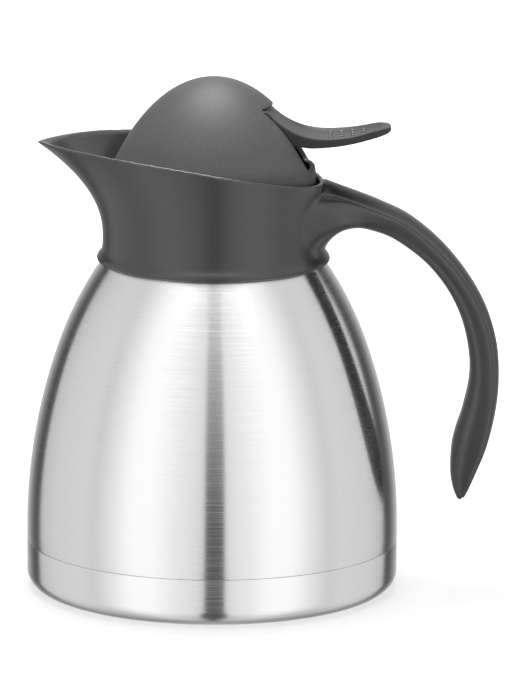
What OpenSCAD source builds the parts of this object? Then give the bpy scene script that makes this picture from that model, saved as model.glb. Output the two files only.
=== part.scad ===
// Vacuum-insulated serving carafe, 1 litre, with a thumb lever hinged in its domed lid.
// Pressing the lever opens the pour valve; the whole lid screws out of the collar.
// Millimetres. +Z up, +X towards the handle, -X towards the spout.
// The origin is the centre of the ring that the carafe stands on.

/* [Steel body] */
// Outer diameter of the body at the base seam
body_d = 150; // [149:0.5:151]
// Height of the seam between the base cup and the body
seam_z = 19.7; // [19:0.1:21]
// Rounding of the base edge
foot_round = 7.1; // [6:0.1:8]
// Sheet thickness of both flask walls
sheet = 0.8; // [0.6:0.1:1]
// Distance between the outer and the inner wall of the flask
vacuum_gap = 9; // [8:0.5:10]

/* [Collar and spout] */
// Outer radius of the collar at its waist
collar_r = 44.6; // [44.4:0.1:45]
// Reach of the spout tip from the axis
spout_reach = 72; // [69:0.5:73]
// Height of the rim over the axis
rim_z = 176.5; // [175:0.5:178]
// Wall thickness of the collar
collar_wall = 2.3; // [2:0.1:2.4]

/* [Handle] */
// Scale of the handle's width
handle_width = 1; // [0.9:0.05:1.1]
// Wall left at each side of the handle's channel
channel_wall = 2.4; // [2:0.2:3]

/* [Lid and lever] */
// Height of the top of the dome
dome_top = 208.6; // [208.2:0.1:209]
// Outer radius of the dome's skirt
skirt_r = 41; // [40.8:0.1:41.2]
// Wall thickness of the dome
dome_wall = 2.2; // [2:0.1:2.4]
// Width of the lever's window in the back of the dome
slot_w = 30; // [29.6:0.1:30.4]
// Reach of the lever's tip from the axis
lever_tip = 71.4; // [70:0.2:73]
// Radius of the lever's pin
pin_r = 1.5; // [1.3:0.1:1.6]

/* [Hidden] */
$fn = 96;

steel = [0.78, 0.78, 0.79];
plastic = [0.33, 0.33, 0.34];
rubber = [0.20, 0.20, 0.21];

// ---- body profile: a straight foot, then two tangent arcs, then the neck ----
body_r = body_d / 2;
arc_z = 25;             // where the straight foot ends
arc1_r = 226;           // long lower arc
arc1_top = 100;         // height where the tighter shoulder arc takes over
arc2_r = 145;
shell_top = 137;        // end of the shoulder arc, under the collar
arc1_end = asin((arc1_top - arc_z) / arc1_r);
arc2_end = asin(sin(arc1_end) + (shell_top - arc1_top) / arc2_r);
arc1_cx = body_r - arc1_r;
arc2_cx = arc1_cx + (arc1_r - arc2_r) * cos(arc1_end);
arc2_cz = arc1_top - arc2_r * sin(arc1_end);

neck_r = 35.4;          // outside of the outer wall's neck
mouth_r = 32.6;         // outside of the inner wall's neck
mouth_z = 146;          // top of the welded steel lip
neck_z = 142.5;         // bottom of the straight neck

// Points of an arc in a profile plane
function arc(cx, cz, r, a0, a1, n) =
    [for (i = [0:n]) let (a = a0 + (a1 - a0) * i / n) [cx + r * cos(a), cz + r * sin(a)]];

// Body outline moved in by d: both arcs keep their centres, so the gap is even
function body_arcs(d, a_end = arc2_end) = concat(
    arc(arc1_cx, arc_z, arc1_r - d, 0, arc1_end, 12),
    arc(arc2_cx, arc2_cz, arc2_r - d, arc1_end + 1.5, a_end, 8)
);
function reverse(list) = [for (i = [len(list) - 1:-1:0]) list[i]];

// ---- rim and spout: a circle behind, a pointed arch in front ----
arch_side = (spout_reach * spout_reach - collar_r * collar_r) / (2 * collar_r);
tip_soft = 0.02;        // rounds the tip of the arch
rim_tilt = 0.165;       // fall of the rim towards the handle, per mm
rim_bow = 0.0012;       // bow of the rim, seen from the side
waist_z = 145;
function arch_r(psi) =
    psi > 90 ? collar_r
    : let (s = sqrt(pow(sin(psi), 2) + tip_soft * tip_soft))
      sqrt(pow(arch_side * s, 2) + spout_reach * spout_reach) - arch_side * s;
function rim_height(x) = rim_z - rim_tilt * x - rim_bow * x * x;

// ---- lid levels ----
skirt_z = 163.1;        // bottom edge of the dome, on the stopper's ledge
deck_z = 160;           // deck that leads the drink to the spout
floor_z = 165;          // underside of the dome's floor
floor_t = 2;
band_z = 173;           // lower and upper edge of the lever's window
window_top = 198;
thread_z = 147.5;       // screw thread zone of the neck
thread_top = 155;
thread_bore_r = 33.2;
cup_bottom = 132;
cup_r = 30.8;
tube_r = 22;            // pour tube through the stopper
pivot_x = -25;          // the lever turns at the front of the dome
pivot_z = 182.2;
pin_fit = 0.05;         // running clearance of the lever on its pin

// Revolves a closed profile
module lathe(points) { rotate_extrude($fn = 96) polygon(points); }

// Solid between an outline and the same outline moved in
module sheet_lathe(outer, inner) { lathe(concat(outer, reverse(inner))); }

// ---------------------------------------------------------------- steel body
shell_joggle = sheet + 0.1;   // the shell steps in to slide into the base cup
shell_foot = 12;
module outer_shell() {
    top_r = arc2_cx + arc2_r * cos(arc2_end);
    color(steel) sheet_lathe(
        concat(
            [[body_r - shell_joggle, shell_foot], [body_r - shell_joggle, seam_z],
             [body_r, seam_z + 0.8]],
            body_arcs(0),
            [[top_r - 3.4, shell_top + 2.4], [neck_r + 0.6, neck_z - 1.2],
             [neck_r, neck_z], [neck_r, mouth_z - sheet]]
        ),
        concat(
            [[body_r - shell_joggle - sheet, shell_foot],
             [body_r - shell_joggle - sheet, seam_z + 0.3], [body_r - sheet, seam_z + 1.2]],
            body_arcs(sheet),
            [[top_r - 3.9, shell_top + 1.6], [neck_r + 0.1, neck_z - 2],
             [neck_r - sheet, neck_z - 0.4], [neck_r - sheet, mouth_z - sheet]]
        )
    );
}

ring_in = 58;           // inner radius of the standing ring
module base_cup() {
    color(steel) sheet_lathe(
        concat(
            [[0, 2.6], [ring_in - 4, 2.6], [ring_in, 0]],
            arc(body_r - foot_round, foot_round, foot_round, -90, 0, 8),
            [[body_r, seam_z - 0.3], [body_r - 0.3, seam_z]]
        ),
        concat(
            [[0, 2.6 + sheet], [ring_in - 3.7, 2.6 + sheet], [ring_in + 0.3, sheet]],
            arc(body_r - foot_round, foot_round, foot_round - sheet, -90, 0, 8),
            [[body_r - sheet, seam_z]]
        )
    );
}

bottom_r = body_r - shell_joggle - sheet - 0.05;
dimple_r = 9;
hole_r = 1.2;
module vacuum_bottom() {
    color(steel) lathe([
        [hole_r, 12.2], [dimple_r - 2, 12.2], [dimple_r, 14], [40, 15.4], [bottom_r - 4, 14],
        [bottom_r - 0.9, 14], [bottom_r - 0.9, 12], [bottom_r, 12], [bottom_r, 14.9],
        [bottom_r - 4, 14.9], [40, 16.3], [dimple_r - 0.5, 14.9], [dimple_r - 2.4, 13],
        [hole_r, 13]
    ]);
}

// Drop of braze that closes the pumping hole
module evacuation_seal() {
    color([0.55, 0.53, 0.5]) lathe([
        [0, 10.6], [2.4, 11], [3.4, 12.15], [hole_r - 0.05, 12.15], [hole_r - 0.05, 13.4], [0, 13.4]
    ]);
}

// Little can of gas-binding powder on the vacuum side
module getter_capsule() {
    color([0.6, 0.6, 0.62]) translate([32, 0, 16.21]) difference() {
        cylinder(r = 6, h = 3, $fn = 48);
        translate([0, 0, 2.2]) cylinder(r = 5.2, h = 2, $fn = 48);
    }
}

flask_floor = 22;
flask_round = 14;
weld_z = 38;            // seam between the flask's dished base and its wall
shoulder_z = 96;        // seam between its wall and its shoulder
flask_corner_z = flask_floor + flask_round;

// Radius of the inner wall's outside, low down, moved in by d
function flask_r(z, d) = arc1_cx + sqrt(pow(arc1_r - vacuum_gap - d, 2) - pow(z - arc_z, 2));

// Dish that closes the flask below, welded to its wall
module flask_base() {
    corner_r = flask_r(flask_corner_z, 0) - flask_round;
    color(steel) sheet_lathe(
        concat(
            [[0, flask_floor]],
            arc(corner_r, flask_corner_z, flask_round, -90, -10, 5),
            [[flask_r(weld_z, 0), weld_z - 0.02]]
        ),
        concat(
            [[0, flask_floor + sheet]],
            arc(corner_r, flask_corner_z, flask_round - sheet, -90, -10, 5),
            [[flask_r(weld_z, sheet), weld_z - 0.02]]
        )
    );
}

module inner_flask() {
    side_a = asin((weld_z - arc_z) / (arc1_r - vacuum_gap));
    top_a = asin((shoulder_z - arc_z) / (arc1_r - vacuum_gap));
    function side(d) = arc(arc1_cx, arc_z, arc1_r - vacuum_gap - d, side_a, top_a, 5);
    color(steel) sheet_lathe(side(0), side(sheet));
}

// Shoulder and neck, with the lip that is welded to the outer wall
module flask_shoulder() {
    a_top = acos((mouth_r + 1 - arc2_cx) / (arc2_r - vacuum_gap));
    function side(d) = concat(
        [[flask_r(shoulder_z + 0.02, d), shoulder_z + 0.02]],
        arc(arc2_cx, arc2_cz, arc2_r - vacuum_gap - d, arc1_end + 2.5, a_top, 5)
    );
    color(steel) sheet_lathe(
        concat(
            side(0),
            [[mouth_r, neck_z - 2], [mouth_r, mouth_z - sheet], [neck_r, mouth_z - sheet],
             [neck_r, mouth_z]]
        ),
        concat(side(sheet), [[mouth_r - sheet, neck_z - 1.6], [mouth_r - sheet, mouth_z]])
    );
}

// Flat ring between the steel lip and the collar
module neck_gasket() {
    color(rubber) difference() {
        translate([0, 0, mouth_z]) cylinder(r = neck_r + 0.1, h = thread_z - mouth_z);
        translate([0, 0, mouth_z - 1]) cylinder(r = thread_bore_r + 0.1, h = 4);
    }
}

// ------------------------------------------------------------- spout collar
bead_r = 47;            // bead round the collar's foot
collar_foot = 133.7;
sleeve_in = neck_r + 0.3;
sleeve_out = sleeve_in + collar_wall;
sleeve_foot = 141.8;
rim_soft = 0.5;         // rounding of the rim's outer edge
rim_half = 32;          // steps along each half of the rim, closer together at the tip
function spout_angle(i) = 180 * sign(i) * pow(abs(i) / rim_half, 1.5);

// Radius of the outer wall at a height, psi from the spout
function rise(psi, z) =
    let (reach = arch_r(psi), top = rim_height(-reach * cos(psi)))
    (z - waist_z) / (top - waist_z);
function wall_r(psi, z) = collar_r + (arch_r(psi) - collar_r) * pow(max(0, rise(psi, z)), 2);
// The wall leans out in the spout, so it is measured thicker along the radius there
function wall_t(psi, z) =
    let (reach = arch_r(psi), top = rim_height(-reach * cos(psi)))
    let (lean = 2 * (reach - collar_r) * max(0, rise(psi, z)) / (top - waist_z))
    collar_wall * sqrt(1 + lean * lean);

// One upright cut through the collar, psi from the spout
function collar_cut(psi) =
    let (reach = arch_r(psi), top = rim_height(-reach * cos(psi)))
    let (t = wall_t(psi, top))
    let (bowl_z = max(thread_top + 1.5, 160.8 - 0.9 * (reach - collar_r)))
    let (bowl_r = wall_r(psi, bowl_z) - wall_t(psi, bowl_z))
    concat(
        // foot and bead
        [[45.3, collar_foot], [46.4, 134.1], [bead_r, 135.2], [46.6, 136.6], [45.4, 137.6],
         [44.8, 139.4]],
        // outer wall up to the rim
        [for (k = [0:8]) let (z = 142 + (top - rim_soft - 142) * k / 8) [wall_r(psi, z), z]],
        // rounded rim
        [[reach - 0.17 * t, top], [reach - 0.7 * t, top]],
        // inner wall down to the funnel
        [for (k = [0:5]) let (z = top - 0.8 + (bowl_z - top + 0.8) * k / 5)
            [wall_r(psi, z) - wall_t(psi, z), z]],
        // funnel, threaded bore, seat on the gasket and sleeve round the steel neck
        [[bowl_r - 1.6, bowl_z - 0.9], [thread_bore_r, thread_top], [thread_bore_r, thread_z],
         [sleeve_in, thread_z], [sleeve_in, sleeve_foot], [sleeve_out, sleeve_foot],
         [sleeve_out, thread_top - 2.6]],
        // hollow between the sleeve and the outer wall
        [[collar_r - collar_wall - 1.5, thread_top - 0.6], [collar_r - collar_wall, thread_top - 2],
         [collar_r - collar_wall, 139.6], [44, 136.4]]
    );

// Skin over rings of points, closed round both ways
function ring_faces(rings, count) = [
    for (i = [0:rings - 1], j = [0:count - 1])
        let (i2 = (i + 1) % rings, j2 = (j + 1) % count)
        each [
            [i * count + j, i2 * count + j2, i * count + j2],
            [i * count + j, i2 * count + j, i2 * count + j2]
        ]
];

screw_at = [47.5, 157];     // where the handle's screws bear, in x and z
screw_slope = 30;           // they point down and inwards
screw_y = 5.2;
screw_len = 11;
screw_r = 1.5;
module screw_axes() {
    for (side = [-1, 1])
        translate([screw_at.x, side * screw_y, screw_at.y]) rotate([0, -90 - screw_slope, 0])
            children();
}

module spout_collar() {
    steps = [for (i = [-rim_half + 1:rim_half]) spout_angle(i)];
    cuts = [for (a = steps) collar_cut(abs(a))];
    points = [
        for (i = [0:len(steps) - 1], p = cuts[i])
            [-p[0] * cos(steps[i]), p[0] * sin(steps[i]), p[1]]
    ];
    color(plastic) difference() {
        polyhedron(points, ring_faces(len(steps), len(cuts[0])), convexity = 6);
        screw_axes() cylinder(r = screw_r + 0.1, h = 14, $fn = 24);
    }
}

// -------------------------------------------------------------------- handle
// Stations from the collar to the tip, chosen square to the handle's run:
// back x, z; inside x, z; half width; half width of the back; crown of the back; wrap
stations = [
    [44.7, 167.2, 44.9, 139.3, 28.0, 9.4, 6.4, 1.00],
    [47.4, 166.3, 47.0, 143.0, 20.0, 9.6, 6.0, 0.75],
    [52.5, 164.4, 51.5, 146.7, 14.8, 9.8, 5.4, 0.40],
    [59.0, 162.0, 57.5, 148.1, 12.4, 10.0, 5.0, 0.10],
    [67.5, 158.6, 63.5, 147.2, 11.6, 10.2, 4.8, 0.00],
    [79.0, 152.9, 72.5, 143.7, 11.2, 10.2, 4.6, 0.00],
    [91.5, 142.6, 84.5, 134.9, 11.0, 10.0, 4.5, 0.00],
    [102.0, 130.0, 93.3, 124.5, 11.0, 9.8, 4.4, 0.00],
    [109.6, 116.8, 99.3, 113.0, 11.0, 9.6, 4.2, 0.00],
    [114.2, 102.5, 102.7, 100.5, 11.2, 9.5, 3.7, 0.00],
    [115.6, 88.0, 103.6, 88.0, 11.4, 9.5, 2.8, 0.00],
    [114.6, 73.8, 101.2, 74.9, 11.4, 9.4, 2.0, 0.00],
    [111.2, 58.9, 97.1, 61.0, 10.9, 8.8, 1.5, 0.00],
    [106.2, 45.8, 96.3, 48.3, 8.6, 6.8, 1.3, 0.00],
    [103.2, 38.7, 97.5, 40.8, 5.6, 4.4, 1.1, 0.00],
    [101.4, 35.5, 99.3, 36.2, 2.4, 1.8, 0.7, 0.00]
];
last = len(stations) - 1;

// Smooth curve through the stations
function smooth(a, b, c, d, f) =
    b + 0.5 * f * (c - a + f * (2 * a - 5 * b + 4 * c - d + f * (3 * (b - c) + d - a)));
function station(u) =
    let (i = min(floor(u), last - 1), f = u - i)
    smooth(stations[max(i - 1, 0)], stations[i], stations[i + 1],
           stations[min(i + 2, last)], f);

// Handle section at a station: rounded grip with a flat seat and a channel for the cover
function grip_section(s, depth) =
    let (h = norm([s[0] - s[2], s[1] - s[3]]), w = s[4] * handle_width, e = s[5] * handle_width)
    let (seat = h - s[6], wide = seat * 0.62)
    let (side = [for (b = [90, 50, 20]) [e + (w - e) * cos(b), wide + (seat - wide) * sin(b)]])
    let (groove = max(e - channel_wall, e * 0.4))
    concat(
        side,
        [for (a = [0:15:180]) [w * cos(a), wide * (1 - sin(a))]],
        reverse([for (p = side) [-p.x, p.y]]),
        [[-groove, seat], [-groove * 0.8, seat - depth], [groove * 0.8, seat - depth],
         [groove, seat]]
    );

// Section of the cover: a crowned strip, hollow underneath
function cover_section(s, hollow) =
    let (h = norm([s[0] - s[2], s[1] - s[3]]), e = s[5] * handle_width, crown = s[6] - 0.1)
    let (seat = h - crown, inner = max(e - channel_wall + 0.4, e * 0.35))
    concat(
        [for (i = [0:10]) let (y = e * (i / 5 - 1)) [y, seat + crown * (1 - pow(y / e, 2))]],
        [for (i = [0:4]) let (y = inner * (1 - i / 2))
            [y, seat + crown * hollow * (1 - 0.8 * pow(y / inner, 2)) * 0.62]]
    );

// Puts a section at its station, wrapped round the collar near the root
function place(s, section) =
    let (up = [s[0] - s[2], s[1] - s[3]] / norm([s[0] - s[2], s[1] - s[3]]))
    [for (p = section)
        let (x = s[2] + up.x * p.y, z = s[3] + up.y * p.y)
        [x - s[7] * (collar_r - sqrt(pow(collar_r, 2) - pow(p.x, 2))), p.x, z]];

// Middle of a list of points
function middle(ring) = [for (k = [0:2]) let (c = [for (p = ring) p[k]]) (min(c) + max(c)) / 2];

// Solid over rings of points, with a fan of triangles over each end
module skin(rings) {
    count = len(rings[0]);
    n = len(rings);
    sides = [
        for (i = [0:n - 2], j = [0:count - 1]) let (j2 = (j + 1) % count)
            each [
                [i * count + j, i * count + j2, (i + 1) * count + j2],
                [i * count + j, (i + 1) * count + j2, (i + 1) * count + j]
            ]
    ];
    ends = [
        for (j = [0:count - 1]) let (j2 = (j + 1) % count, tip = (n - 1) * count)
            each [[n * count, j2, j], [n * count + 1, tip + j, tip + j2]]
    ];
    points = concat([for (r = rings) each r], [middle(rings[0]), middle(rings[n - 1])]);
    polyhedron(points, concat(sides, ends), convexity = 6);
}

grip_steps = 45;
function grip_at(k) = last * pow(k / grip_steps, 1.12);
function channel_depth(u) = 0.3 + 4.4 * min(1, max(0, (u - 0.9) / 1.5), max(0, (last - 1 - u) / 2));
// The root ends in a face that lies on the collar
root_gap = 0.15;
function on_collar(p) =
    [sqrt(pow(collar_r + root_gap, 2) - pow(p.y, 2)), p.y, p.z];

module handle() {
    root = place(stations[0], grip_section(stations[0], 0.3));
    root_z = 151;
    caps = [for (f = [0.15, 0.4, 0.6, 0.8, 1])
        [for (p = root) on_collar([0, p.y * f, root_z + (p.z - root_z) * f])]];
    rings = concat(
        caps,
        [for (k = [1:grip_steps]) let (u = grip_at(k), s = station(u))
            place(s, grip_section(s, channel_depth(u)))]
    );
    color(plastic) difference() {
        skin(rings);
        screw_axes() {
            translate([0, 0, -12]) cylinder(r = 2.9, h = 12, $fn = 24);
            cylinder(r = screw_r + 0.1, h = 14, $fn = 24);
        }
    }
}

cover_start = 0.25;
cover_end = last - 0.6;
cover_steps = 40;
module handle_cover() {
    color(plastic) skin([
        for (k = [0:cover_steps])
            let (u = cover_start + (cover_end - cover_start) * k / cover_steps, s = station(u))
            let (hollow = min(1, 0.05 + u / 2, (cover_end - u) / 2 + 0.05))
            place(s, cover_section(s, hollow))
    ]);
}

module handle_screws() {
    color(steel) screw_axes() {
        translate([0, 0, -1.8]) difference() {
            cylinder(r = 2.8, h = 1.8, $fn = 32);
            for (a = [0, 90]) rotate([0, 0, a]) cube([3.2, 0.8, 1.6], center = true);
        }
        cylinder(r = screw_r, h = screw_len - 1, $fn = 32);
    }
}

// ----------------------------------------------------------- screwed stopper
seal_z = 137;
seal_h = 4;
module stopper_cup() {
    color(plastic) lathe([
        [tube_r + 2.1, cup_bottom], [cup_r - 1.5, cup_bottom], [cup_r, cup_bottom + 1.5],
        [cup_r, seal_z - 0.1], [cup_r - 1.4, seal_z - 0.1], [cup_r - 1.4, seal_z + seal_h + 0.1],
        [cup_r, seal_z + seal_h + 0.1], [cup_r, thread_z], [cup_r + 0.6, thread_z + 0.6],
        [cup_r + 0.6, thread_top], [cup_r - 2.2, thread_top], [cup_r - 3.4, cup_bottom + 12],
        [cup_r - 3.4, cup_bottom + 2], [tube_r + 2.1, cup_bottom + 2]
    ]);
}

// Ring with two lips, in the cup's groove
module stopper_seal() {
    lip = 31.7;
    color(rubber) lathe([
        [cup_r - 1.3, seal_z], [cup_r + 0.1, seal_z], [lip, seal_z + 0.5], [cup_r + 0.3, seal_z + 1.5],
        [cup_r + 0.3, seal_z + 2.5], [lip, seal_z + 3.5], [cup_r + 0.1, seal_z + seal_h],
        [cup_r - 1.3, seal_z + seal_h]
    ]);
}

rod_r = 2.5;
rod_fit = 0.1;              // running clearance of the valve rod
guide_z = 142;              // spider that guides the rod in the pour tube
window_n = 6;               // pour windows all round, so the lid pours at any turn
module stopper_core() {
    spigot_r = skirt_r - dome_wall - 0.1;
    ledge_in = spigot_r - 2;
    color(plastic) difference() {
        union() {
            // pour tube, deck and the ledge that carries the dome, in one turning
            lathe([
                [tube_r, cup_bottom], [tube_r + 2, cup_bottom], [tube_r + 2, 156.6],
                [cup_r - 2.4, 156.6], [cup_r - 2.4, thread_top + 0.1],
                [cup_r + 0.6, thread_top + 0.1], [skirt_r, deck_z + 0.4],
                [skirt_r, skirt_z], [spigot_r, skirt_z], [spigot_r, floor_z - 0.3],
                [ledge_in, floor_z - 0.3], [ledge_in, deck_z],
                [tube_r + 3, 158.6], [tube_r + 0.8, 158.6], [tube_r, 157.8]
            ]);
            translate([0, 0, guide_z]) cylinder(r = rod_r + 2.2, h = 6, $fn = 48);
            for (a = [0:120:240]) rotate([0, 0, a]) translate([0, -1, guide_z]) cube([tube_r + 1, 2, 4]);
        }
        translate([0, 0, guide_z - 1]) cylinder(r = rod_r + rod_fit, h = 8, $fn = 48);
        for (i = [0:window_n - 1]) rotate([0, 0, 360 * (i + 0.5) / window_n])
            translate([ledge_in - 2, -8, deck_z]) cube([12, 16, 6]);
    }
}

// ------------------------------------------------------------------- pour valve
disc_z = 130.2;             // top of the valve disc
disc_r = 25.6;
thread_r = 1.8;             // slim end of the rod
cap_z = 179.1;              // top of the push cap, just under the lever
module valve_rod() {
    color(steel) lathe([
        [0, disc_z - 5], [thread_r, disc_z - 5], [thread_r, disc_z], [rod_r, disc_z],
        [rod_r, cap_z - 2.5], [0, cap_z - 2.5]
    ]);
}

module valve_disc() {
    color(plastic) lathe([
        [thread_r, disc_z - 2.4], [22, disc_z - 2.4], [disc_r - 0.6, disc_z - 1.2],
        [disc_r, disc_z], [thread_r, disc_z]
    ]);
}

module valve_seal() {
    top = cup_bottom - 0.07;
    color(rubber) lathe([
        [20.8, disc_z], [25.2, disc_z], [25.2, top - 0.7], [24.4, top], [21.6, top], [20.8, top - 0.7]
    ]);
}

module valve_nut() {
    color(steel) translate([0, 0, disc_z - 4.8]) difference() {
        cylinder(r = 3.6, h = 2.4, $fn = 6);
        translate([0, 0, -1]) cylinder(r = thread_r, h = 5, $fn = 48);
    }
}

module push_cap() {
    color(plastic) lathe([
        [rod_r, 172], [rod_r + 1.9, 172], [rod_r + 1.9, 175], [7.2, 175], [7.5, 175.6],
        [7.3, 176.6], [5.5, 177.9], [3, 178.8], [1.2, cap_z - 0.05], [0, cap_z],
        [0, cap_z - 2.5], [rod_r, cap_z - 2.5]
    ]);
}

// Grommet that keeps the drink out of the dome
grommet_r = 4.2;
module rod_seal() {
    color(rubber) lathe([
        [rod_r + rod_fit, floor_z - 0.8], [grommet_r + 1.4, floor_z - 0.8], [grommet_r + 1.4, floor_z],
        [grommet_r, floor_z], [grommet_r, floor_z + floor_t], [grommet_r + 1.4, floor_z + floor_t],
        [grommet_r + 1.4, floor_z + floor_t + 0.6], [rod_r + rod_fit, floor_z + floor_t + 0.6]
    ]);
}

// Compression spring between the dome's floor and the push cap
wire_r = 0.45;
coil_r = 6.35;
coil_turns = 5;
module valve_spring() {
    steps = 14;
    foot = floor_z + floor_t + wire_r + 0.05;
    rise = 175 - wire_r - 0.1 - foot;
    line = [for (i = [0:coil_turns * steps]) let (a = 360 * i / steps)
        [coil_r * cos(a), coil_r * sin(a), foot + rise * i / (coil_turns * steps)]];
    rings = [for (i = [0:len(line) - 1]) let (a = 360 * i / steps)
        [for (k = [0:5]) line[i] + wire_r * [cos(60 * k) * cos(a), cos(60 * k) * sin(a), sin(60 * k)]]];
    color(steel) skin(rings);
}

// -------------------------------------------------------------- dome and lever
// The dome is the end of an egg that runs into an upright skirt
egg_r = 53.9;
egg_h = 104;
function egg_depth(r) = egg_h * (1 - sqrt(1 - pow(r / egg_r, 2)));
function dome_line(inset) = concat(
    [for (r = [0:2.5:40]) [r - inset * 0.8 * r / 40, dome_top - inset - egg_depth(r)]],
    [[skirt_r - inset, 170.5], [skirt_r - inset, skirt_z]]
);

// Rectangle with round corners, from its middle
module soft_rectangle(w, h, r) {
    square([w - 2 * r, h], center = true);
    square([w, h - 2 * r], center = true);
    for (x = [-1, 1], y = [-1, 1]) translate([x * (w / 2 - r), y * (h / 2 - r)]) circle(r = r, $fn = 24);
}

post_at = [22, 22];         // screw posts of the dome
module posts() {
    for (x = [-1, 1], y = [-1, 1]) translate([x * post_at.x, y * post_at.y, floor_z]) children();
}

module dome_shell() {
    color(plastic) difference() {
        union() {
            sheet_lathe(dome_line(0), dome_line(dome_wall));
            // posts for the floor's screws, up into the wall
            intersection() {
                posts() translate([0, 0, floor_t + 0.1]) cylinder(r = 3.4, h = 30, $fn = 32);
                lathe(concat(dome_line(1), [[0, skirt_z]]));
            }
        }
        // window that the lever comes out of, closed below by the band of the skirt
        translate([15, 0, (band_z + window_top) / 2]) rotate([90, 0, 90])
            linear_extrude(40) soft_rectangle(slot_w, window_top - band_z, 2);
        posts() cylinder(r = 1.3, h = 12, $fn = 24);
    }
}

ear_in = 8.4;               // inner faces of the two ears that hold the lever's pin
ear_t = 3;
ear_r = 3.4;
module dome_floor() {
    rim = skirt_r - dome_wall - 0.1;
    color(plastic) difference() {
        union() {
            lathe([
                [0, floor_z], [rim, floor_z], [rim, floor_z + 4], [rim - 1.6, floor_z + 4],
                [rim - 1.6, floor_z + floor_t], [0, floor_z + floor_t]
            ]);
            for (y = [-ear_in, ear_in + ear_t]) translate([pivot_x, y, 0]) rotate([90, 0, 0])
                linear_extrude(ear_t) {
                    polygon([[-6, floor_z + 1.5], [6, floor_z + 1.5], [ear_r, pivot_z], [-ear_r, pivot_z]]);
                    translate([0, pivot_z]) circle(r = ear_r, $fn = 48);
                }
        }
        translate([pivot_x, 20, pivot_z]) rotate([90, 0, 0]) cylinder(r = pin_r, h = 40, $fn = 48);
        translate([0, 0, floor_z - 1]) cylinder(r = grommet_r, h = 5, $fn = 48);
        posts() translate([0, 0, -1]) cylinder(r = 1.4, h = 5, $fn = 24);
    }
}

module floor_screws() {
    color(steel) posts() {
        translate([0, 0, -1.2]) cylinder(r = 2.5, h = 1.2, $fn = 32);
        translate([0, 0, -0.1]) cylinder(r = 1.25, h = 10, $fn = 32);
    }
}

module lever_pin() {
    half = ear_in + ear_t;
    color(steel) translate([pivot_x, half, pivot_z]) rotate([90, 0, 0])
        cylinder(r = pin_r, h = 2 * half, $fn = 48);
}

// Lever seen from the side: an arm inside the dome, a paddle that dips and lifts to its tip
dip_x = 44.5;
dip_z = 185.7;
dip_r = 30;
tail_r = 68;
under_x = 38;
under_z = 181.5;
under_r = 90;
barrel_r = 3.2;
pad_z = 179.4;              // face that presses on the cap
function dip_arc(d, a0, step, a1) =
    [for (a = [a0:step:a1]) [dip_x + dip_r * cos(a), dip_z - d + dip_r + dip_r * sin(a)]];
function tail_arc(d) =
    [for (a = [-90:3.5:-69]) [dip_x + tail_r * cos(a), dip_z - d + tail_r + tail_r * sin(a)]];
function lever_side() = concat(
    [[pivot_x, pivot_z + barrel_r], [0, 187.4], [11, 192], [18.2, window_top - 0.8]],
    dip_arc(0, -141, 7, -92), tail_arc(0),
    [[lever_tip - 0.9, 190.1], [lever_tip - 0.2, 189.7], [lever_tip, 188.9], [lever_tip - 0.6, 187.9]],
    [for (a = [-69.5:-3:-88]) [under_x + under_r * cos(a), under_z + under_r + under_r * sin(a)]],
    [[under_x, under_z], [33.5, 182.6], [26, 182], [9, pad_z], [-9, pad_z], [pivot_x, pivot_z - barrel_r]]
);
// Hollows of the arm, open below, with a web over the cap
function lever_hollows() = [
    [[-19, 170], [-19, 182.8], [-2, 185], [-2, 170]],
    [[2, 170], [2, 185.7], [11.6, 189.8], [18.4, 194.4], [21.4, 193.2], [26, 189.2], [32.5, 185.6],
     [32.5, 170]]
];

// Lever seen from above: a narrow arm, parallel in the window, then an oval end
lever_w = 14.2;
arm_w = 8;
function lever_plan(inset) =
    let (w = lever_w - inset, arm = arm_w - inset, tip = lever_tip - inset, start = 34)
    concat(
        [[pivot_x - 6, arm], [4, arm], [14, w]],
        [for (i = [0:14]) let (a = 90 - 180 * i / 14)
            [start + (tip - start) * pow(abs(cos(a)), 0.85), w * sin(a)]],
        [[14, -w], [4, -arm], [pivot_x - 6, -arm]]
    );

module lever_slice(side, inset) {
    intersection() {
        translate([0, 20, 0]) rotate([90, 0, 0]) linear_extrude(40) polygon(side);
        translate([0, 0, 150]) linear_extrude(60) polygon(lever_plan(inset));
    }
}

module thumb_lever() {
    pad_in = 1.9;
    pad_depth = 0.8;
    pad_start = 37.5;
    color(plastic) difference() {
        union() {
            lever_slice(lever_side(), 0);
            translate([pivot_x, arm_w, pivot_z]) rotate([90, 0, 0])
                cylinder(r = barrel_r, h = 2 * arm_w, $fn = 48);
        }
        for (hollow = lever_hollows()) lever_slice(hollow, 2.2);
        translate([pivot_x, 20, pivot_z]) rotate([90, 0, 0])
            cylinder(r = pin_r + pin_fit, h = 40, $fn = 48);
        // thumb pad sunk into the top, inside a raised border
        intersection() {
            lever_slice(
                concat(dip_arc(pad_depth, -103, 3, -91), tail_arc(pad_depth), [[80, 200], [30, 200]]),
                pad_in
            );
            translate([pad_start, -20, 150]) cube([40, 40, 60]);
        }
    }
}

outer_shell();
base_cup();
vacuum_bottom();
evacuation_seal();
getter_capsule();
flask_base();
inner_flask();
flask_shoulder();
neck_gasket();
spout_collar();
handle();
handle_cover();
handle_screws();
stopper_cup();
stopper_core();
stopper_seal();
valve_rod();
valve_disc();
valve_seal();
valve_nut();
push_cap();
rod_seal();
valve_spring();
dome_shell();
dome_floor();
floor_screws();
lever_pin();
thumb_lever();
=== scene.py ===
"""Vacuum carafe with a press-lever lid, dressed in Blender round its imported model."""
import math

import bmesh
import bpy
from mathutils import Matrix, Vector


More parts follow.
